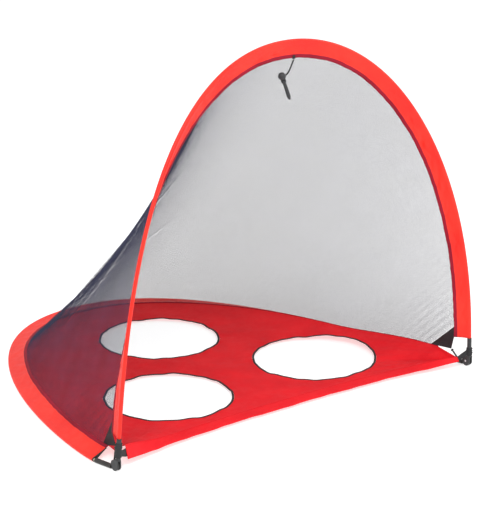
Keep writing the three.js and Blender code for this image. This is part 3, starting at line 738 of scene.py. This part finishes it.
spacing = 0.010
gx, gy = np.meshgrid(np.arange(-0.60, 0.60, spacing), np.arange(MIDDLE_Y, MIDDLE_Y + 1.06, spacing * 0.866))
gx = gx + (np.arange(gx.shape[0]) % 2)[:, None] * spacing / 2
x, y = gx.ravel(), gy.ravel()
keep = inside(outline[:, :2], x, y)
x, y = x[keep], y[keep]
distance, _ = near(outline[:, :2], x, y)
keep = distance > spacing * 0.55
for ring in rings2d:
    keep &= ~inside(ring, x, y) & (near(ring, x, y)[0] > spacing * 0.55)
x, y = x[keep], y[keep]
loops = [outline[:, :2], *rings2d]
flat = np.concatenate([*loops, np.stack([x, y], -1)])
edges, at = [], 0
for loop in loops:
    edges += [(at + i, at + (i + 1) % len(loop)) for i in range(len(loop))]
    at += len(loop)
vs, _, tris, *_ = delaunay_2d_cdt([Vector(p) for p in flat], edges, [], 0, 1e-7)
vs = np.array([tuple(p) for p in vs])
tris = np.array([list(t) for t in tris])
centre = vs[tris].mean(1)
keep = inside(outline[:, :2], centre[:, 0], centre[:, 1])
for ring in rings2d:
    keep &= ~inside(ring, centre[:, 0], centre[:, 1])
tris = tris[keep]
distance, index = near(outline[:, :2], vs[:, 0], vs[:, 1])


def floor_height(x, y, distance=None, index=None):
    if distance is None:
        distance, index = near(outline[:, :2], x, y)
    lift = (outline[index, 2] - FLOOR_Z) * np.exp(-((distance / 0.07) ** 1.2))
    return FLOOR_Z + lift + floor_relief(x, y) * smoothstep(0.0, 0.03, distance)


z = floor_height(vs[:, 0], vs[:, 1], distance, index)
floor = make("floor_cloth", np.column_stack([vs, z]), tris.tolist(), RED_FLOOR, vs)
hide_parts("floor_sheet")
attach(floor, "base")

hole_tapes, hole_threads = [], []
for index, (label, hx, hy) in enumerate(HOLES):
    a = np.linspace(0, math.tau, 181)
    r = hole_edge(index, a)
    section = [(0.0, 0), (0.08, 0.7), (0.3, 1), (0.7, 0.95), (1, 0.8), (1, -0.8), (0.7, -0.95),
               (0.3, -1), (0.08, -0.7)]
    z = floor_height(hx + (r + BINDING) * np.cos(a), hy + MIDDLE_Y + (r + BINDING) * np.sin(a))
    rows = []
    for out, up in section:
        rr = r + BINDING * out
        rows.append(np.stack([hx + rr * np.cos(a), hy + MIDDLE_Y + rr * np.sin(a), z + up * HALF_TAPE], -1))
    rings = np.stack(rows, 1)
    tape = recalc(skin(f"hole_tape_{label}", rings, BLACK_TAPE, capped=False))
    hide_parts(f"hole_binding_{label}")
    rr = r + BINDING * 0.6
    line = np.stack([hx + rr * np.cos(a), hy + MIDDLE_Y + rr * np.sin(a), z + HALF_TAPE], -1)
    thread = stitches(f"hole_stitches_{label}", line, np.tile((0.0, 0, 1), (len(line), 1)), BLACK_THREAD)
    for piece in (tape, thread):
        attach(piece, "base")
    hole_tapes.append(tape)
    hole_threads.append(thread)

# ------------------------------------------------------------------------------- the net
NET_PITCH, THREAD_W, THREAD_T = 0.0025, 0.00080, 0.00020
share = np.linspace(-1, 1, 89)
rims = []
for of, key, lift in ((base, "base", 0.0016), (arch, "upright", 0)):
    # on the left the net is sewn to the base a little further towards the back than to the upright
    sewn = np.where(share < 0, -np.abs(share) ** 1.6, share) if key == "base" else share
    s = of.pair(sewn)
    edge = of.point(of.frame(s), (band_width(of, s, BAND_SEEDS[key]) + SEAM_W + 0.0009)[:, None], 0)[:, 0]
    rims.append(edge + (0, 0, lift))
low, high = rims
ruling = high - low
girth = np.gradient(low + high, axis=0)
net_normal = unit(np.cross(girth, ruling))  # points out of the goal
net_normal *= np.sign(net_normal[len(share) // 2] @ np.array([0, 1, 1]))


def flatten(low, high):
    """Unrolls the ruled strip into the plane, two triangles at a time."""
    out = [(np.zeros(2), np.array([0, np.linalg.norm(high[0] - low[0])]))]
    for k in range(len(low) - 1):
        a, b = out[-1]
        c = _third(a, b, np.linalg.norm(low[k + 1] - low[k]), np.linalg.norm(low[k + 1] - high[k]))
        d = _third(c, b, np.linalg.norm(high[k + 1] - low[k + 1]), np.linalg.norm(high[k + 1] - high[k]))
        out.append((c, d))
    return np.array([o[0] for o in out]), np.array([o[1] for o in out])


def _third(a, b, ra, rb):
    """The point at ra from a and rb from b, on the right of the way from a to b."""
    d = np.linalg.norm(b - a)
    x = (ra**2 - rb**2 + d**2) / (2 * d)
    h = math.sqrt(max(ra**2 - x**2, 0))
    w = (b - a) / d
    return a + w * x + np.array([w[1], -w[0]]) * h


flat_low, flat_high = flatten(low, high)
middle = len(share) // 2
up = unit(flat_high[middle] - flat_low[middle])
turn = np.array([[up[1], -up[0]], [up[0], up[1]]])
flat_low, flat_high = ((p - flat_low[middle]) @ turn.T for p in (flat_low, flat_high))


def net_relief(u, v):
    """How far the net stands off its ruled surface: it is drawn in between the arches, with wrinkles that
    spread from the left of its lower edge."""
    sag = -0.034 * (4 * v * (1 - v)) * smoothstep(1.0, 0.5, np.abs(u))
    du, dv = (u + 0.62) * 1.35, (v + 0.03) * 1.2
    r, a = np.hypot(du, dv), np.degrees(np.arctan2(dv, du))
    ridges = np.zeros_like(r)
    g = np.random.default_rng(77)
    for angle in np.arange(12, 92, 6.4):
        d = (a - angle - g.uniform(-2.4, 2.4)) / g.uniform(0.4, 0.8)
        start, stop = g.uniform(0.22, 0.4), g.uniform(0.6, 1.4)
        ridge = g.uniform(0.3, 1.0) * np.exp(-(d**2)) * smoothstep(start, start + 0.2, r)
        ridges += ridge * smoothstep(stop, stop * 0.5, r)
    edge = np.clip(v * (1 - v) * 12, 0, 1)
    return sag + 0.0060 * ridges * edge


def net_point(k, v):
    """Where the net is at a place k along the rulings (fractional) and v up them."""
    i = np.clip(np.floor(k).astype(int), 0, len(share) - 2)
    t = (k - i)[:, None]
    v_ = v[:, None]
    a = low[i] * (1 - t) + low[i + 1] * t
    b = high[i] * (1 - t) + high[i + 1] * t
    normal = net_normal[i] * (1 - t) + net_normal[i + 1] * t
    u = share[i] + (share[1] - share[0]) * t[:, 0]
    return a * (1 - v_) + b * v_ + normal * net_relief(u, v)[:, None]


def threads(direction, pitch):
    """Every thread of one way of the net, cut at the rulings: places (k, v) of each piece's two ends."""
    way = np.array([math.cos(direction), math.sin(direction)])
    across = np.array([-way[1], way[0]])
    starts, ends = [], []
    for k in range(len(share) - 1):
        quad = np.array([flat_low[k], flat_high[k], flat_high[k + 1], flat_low[k + 1]])
        where = np.array([(k, 0.0), (k, 1.0), (k + 1, 1.0), (k + 1, 0.0)])
        h = quad @ across
        lines = np.arange(math.ceil(h.min() / pitch), math.floor(h.max() / pitch) + 1) * pitch
        for level in lines:
            hits = []
            for e in range(4):
                h0, h1 = h[e], h[(e + 1) % 4]
                if (h0 > level) != (h1 > level):
                    t = (level - h0) / (h1 - h0)
                    hits.append(where[e] * (1 - t) + where[(e + 1) % 4] * t)
            if len(hits) == 2:
                starts.append(hits[0])
                ends.append(hits[1])
    starts, ends = np.array(starts), np.array(ends)
    flip = starts[:, 0] > ends[:, 0]
    starts[flip], ends[flip] = ends[flip], starts[flip].copy()
    return starts, ends


def net_mesh(name, first, last, material_):
    """The threads between two rulings, as one mesh of flat three-sided threads."""
    found = [threads(math.radians(direction), NET_PITCH) for direction in (52, 128)]
    a, b = (np.concatenate(ends) for ends in zip(*found))
    here = (a[:, 0] + b[:, 0] > 2 * first) & (a[:, 0] + b[:, 0] < 2 * last)
    a, b = a[here], b[here]
    for _ in range(3):
        p, q = net_point(a[:, 0], a[:, 1]), net_point(b[:, 0], b[:, 1])
        half = (a + b) / 2
        bend = np.linalg.norm(net_point(half[:, 0], half[:, 1]) - (p + q) / 2, axis=1)
        split = (bend > 0.0006) & (np.linalg.norm(q - p, axis=1) > 0.008)
        halved = np.where(split[:, None], half, b)
        a, b = np.concatenate([a, half[split]]), np.concatenate([halved, b[split]])
    p, q = net_point(a[:, 0], a[:, 1]), net_point(b[:, 0], b[:, 1])
    real = np.linalg.norm(q - p, axis=1) > 0.00002
    a, p, q = a[real], p[real], q[real]
    way = unit(q - p)
    side = unit(np.cross(way, net_normal[np.clip(a[:, 0].astype(int), 0, len(share) - 1)]))
    up = np.cross(side, way)
    width = (1.04 - 0.2 * a[:, 1])[:, None, None]  # drawn tighter, and so thinner, towards the top
    across = np.array([0, -0.5, 0.5])[None, :, None] * THREAD_W * width
    above = np.array([0.6, -0.4, -0.4])[None, :, None] * THREAD_T
    ring = side[:, None] * across + up[:, None] * above
    pts = np.concatenate([p[:, None] + ring, q[:, None] + ring], 1)
    quad = np.array([[0, 1, 4, 3], [1, 2, 5, 4], [2, 0, 3, 5]])
    faces = (quad[None] + 6 * np.arange(len(p))[:, None, None]).reshape(-1, 4)
    mesh = bpy.data.meshes.new(name)
    mesh.vertices.add(len(pts) * 6)
    mesh.vertices.foreach_set("co", pts.astype(np.float32).ravel())
    mesh.loops.add(len(faces) * 4)
    mesh.loops.foreach_set("vertex_index", faces.astype(np.int32).ravel())
    mesh.polygons.add(len(faces))
    mesh.polygons.foreach_set("loop_start", np.arange(0, len(faces) * 4, 4, dtype=np.int32))
    mesh.update(calc_edges=True)
    mesh.validate()
    mesh.materials.append(material_)
    return placed(name, mesh)


# one net, in two meshes that meet at the middle ruling
nets = []
for label, first, last in (("left", 0, middle), ("right", middle, len(share) - 1)):
    half_net = net_mesh(f"net_threads_{label}", first, last, NET_THREAD)
    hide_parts("net")
    nets.append(half_net)

# ------------------------------------------------------------- patches, ties and straps
patches, ties = [], []
for side, label in ((-1, "left"), (1, "right")):
    def seam_at(of, distance, lift):
        s = np.array([distance if side < 0 else of.length - distance])
        return of.point(of.frame(s), np.array([[of.band + SEAM_W + 0.0009]]), 0)[0, 0] + (0, 0, lift)

    tip = np.array([side * 0.568, MIDDLE_Y + 0.052, 0.044])
    outline_ = [seam_at(arch, PATCH_END, 0), seam_at(arch, 0.001, 0), tip, seam_at(base, bound, 0.0018),
                seam_at(base, PATCH_END, 0.0018)]
    outline_ = np.array(outline_)
    normal = unit(np.cross(outline_[0] - outline_[4], tip - outline_[4]))
    centre = outline_.mean(0)
    border = np.concatenate([np.linspace(a, b, 8, False) for a, b in zip(outline_, np.roll(outline_, -1, 0))])
    rings = []
    for t in (1, 0.97, 0.85, 0.6, 0.3, 0.02):
        ring = centre + (border - centre) * t
        puff = 0.0008 * math.sin(math.pi * min(1, (1 - t) * 3) / 2)
        rings.append(ring + normal * (0.0006 + puff))
    rings = rings[::-1] + [r - normal * 0.0012 for r in rings]
    patch = recalc(skin(f"corner_patch_cloth_{label}", np.array(rings), WEBBING))
    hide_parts(f"corner_patch_{label}")
    patches.append(patch)

    base_root, base_way, *_ = corner(side, SIDES[side]["splay"])
    start = base_root + base_way * 0.017 + (-side * 0.008, 0, 0.003)
    way_ = unit(tip - start)
    knot = tip - way_ * 0.0048
    end = knot - way_ * 0.0039
    path = catmull([start, (start + end) / 2 + np.array([0, 0, -0.0008]), end], 14)
    tie = tube(f"tie_{label}", path, 0.0024, ELASTIC, 12)
    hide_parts(f"tie_cord_{label}")
    loops_ = np.linspace(0, math.tau, 40, False)
    turn_ = np.array(Vector((0, 0, 1)).rotation_difference(Vector(way_)).to_matrix())
    swell = 1 + 0.3 * np.cos(3 * loops_)
    path = [0.0019 * np.cos(2 * loops_) * swell, 0.0019 * np.sin(2 * loops_) * swell, 0.0012 * np.sin(3 * loops_)]
    path = np.stack(path, -1) @ turn_.T + knot
    knotted = tube(f"tie_knot_cord_{label}", np.concatenate([path, path[:1]]), 0.0019, ELASTIC, 8)
    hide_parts(f"tie_knot_{label}")
    ties += [tie, knotted]

for piece in (base_sleeve, arch_sleeve, base_tape, arch_tape, base_tape_thread, arch_tape_thread, *end_tapes,
              *patches, *ties):
    folds(piece)
for piece in nets:
    folds(piece)

dress("toggle_tab", WEBBING)

# webbing bunched round each upright arm, with a tail down to the hem's end, and a moulded skin on each arm,
# 0.2 mm proud of the CAD's
GRIP_R, GRIP_LIFT = 0.0062, 0.0002
for side, label in ((-1, "left"), (1, "right")):
    base_root, base_way, arch_root, arch_way = corner(side, SIDES[side]["splay"])
    start, height = (0.021, 0.038) if side < 0 else (0.019, 0.022)
    across = unit(np.cross(arch_way, (0, 1, 0)))
    front_way = np.cross(across, arch_way)
    angles = np.linspace(0, math.tau, 33)[:-1]
    levels = np.linspace(0, 1, 15)
    bunch = 0.0086 + 0.0008 * np.sin(levels * 21 + side) - 0.0012 * np.abs(levels * 2 - 1) ** 6
    rings = []
    for level, radius in zip(levels, bunch):
        r = radius + 0.0004 * np.sin(3 * angles + 9 * level)
        ring = r[:, None] * (np.cos(angles)[:, None] * across + np.sin(angles)[:, None] * front_way)
        rings.append(ring + arch_root + arch_way * (start + height * level))
    loop = skin(f"strap_loop_cloth_{label}", np.array(rings), WEBBING)
    hem_end, hem_way, hem_face, hem_width = (part[0] for part in hem_frame(np.array([side * HEM_END])))
    top = arch_root + arch_way * (start + 0.009) - side * np.array([0.0075, 0, 0])
    end = hem_end + hem_way * hem_width * 0.5 - side * np.array([0.004, 0, 0]) - hem_face * 0.0025
    handles = top - side * np.array([0.008, 0, 0]), end + side * np.array([0.009, 0, 0.002])
    tail_path = bezier([top, *handles, end], np.linspace(0, 1, 16))
    half_height = np.linspace(0.008, min(0.011, hem_width * 0.45), 16)[:, None]
    turn_ = np.linspace(0, 1, 16)[:, None]
    upwards = unit((1 - turn_) * arch_way + turn_ * hem_way)
    face = unit(np.cross(upwards, (side, 0, 0)))
    section = [(1, 0), (0.94, 0.8), (0, 1), (-0.94, 0.8), (-1, 0), (-0.94, -0.8), (0, -1), (0.94, -0.8)]
    rings = np.stack([tail_path + upwards * half_height * a + face * 0.0011 * b for a, b in section], 1)
    tail = recalc(skin(f"strap_tail_{label}", rings, WEBBING))
    for piece in (recalc(loop), tail):
        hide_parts(f"strap_loop_{label}")
        folds(piece)
    # the base's grips get the brownish plastic, whose tone is painted reflection
    grip_ends = ((base_root + (0, 0, GRIP_LIFT), base_way, 0.022, 0.068, "base", PLASTIC_PAINTED_REFLECTION),
                 (arch_root, arch_way, 0.034, 0.0695, "upright", PLASTIC))
    for root, way_, first, last, body, stuff in grip_ends:
        at = np.linspace(first, last, 26)
        ends = np.clip(np.minimum(at - first, last - at) / 0.004, 0, 1)
        grip = tube(f"{body}_grip_{label}", root + way_ * at[:, None], GRIP_R, stuff, 28,
                    bulge=0.86 + 0.14 * np.sqrt(1 - (1 - ends) ** 2))
        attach(grip, body)
for side in ("left", "right"):
    # the base's elbows get the brownish plastic, whose tone is painted reflection
    for name, stuff in ((f"base_elbow_{side}", PLASTIC_PAINTED_REFLECTION), (f"upright_elbow_{side}", PLASTIC),
                        (f"hinge_rivet_{side}", STEEL)):
        dress(name, stuff)

# ----------------------------------------------------------------- floor, lights and sky
stage_mesh = bpy.data.meshes.new("stage")
STAGE, STAGE_Z = 30, -0.0005
stage_corners = [(x * STAGE, y * STAGE, STAGE_Z) for x, y in ((-1, -1), (1, -1), (1, 1), (-1, 1))]
stage_mesh.from_pydata(stage_corners, [], [(0, 1, 2, 3)])
stage = placed("stage", stage_mesh)
paper, *_, shader = material("paper", (0.55, 0.55, 0.55), 0.9, specular=0.0)
shader.inputs["Emission Color"].default_value = (1, 1, 1, 1)
shader.inputs["Emission Strength"].default_value = 0.62  # the ground gives off light, as a light table does
stage_mesh.materials.append(paper)

world = bpy.context.scene.world or bpy.data.worlds.new("world")
bpy.context.scene.world = world
world.use_nodes = True
world.node_tree.nodes["Background"].inputs["Color"].default_value = (1, 1, 1, 1)
world.node_tree.nodes["Background"].inputs["Strength"].default_value = 0.82


def lamp(name, location, target, size, power):
    data = bpy.data.lights.new(name, "AREA")
    data.shape, data.size, data.energy = "DISK", size, power
    obj = placed(name, data)
    obj.location = location
    obj.rotation_euler = (Vector(target) - Vector(location)).to_track_quat("-Z", "Y").to_euler()


lamp("key", (-2.2, -3.0, 4.2), (0, 0, 0.3), 2.6, 160)
lamp("fill", (3.5, -2.0, 3.0), (0, 0, 0.3), 3.0, 60)
bpy.context.scene.view_settings.view_transform = "Standard"
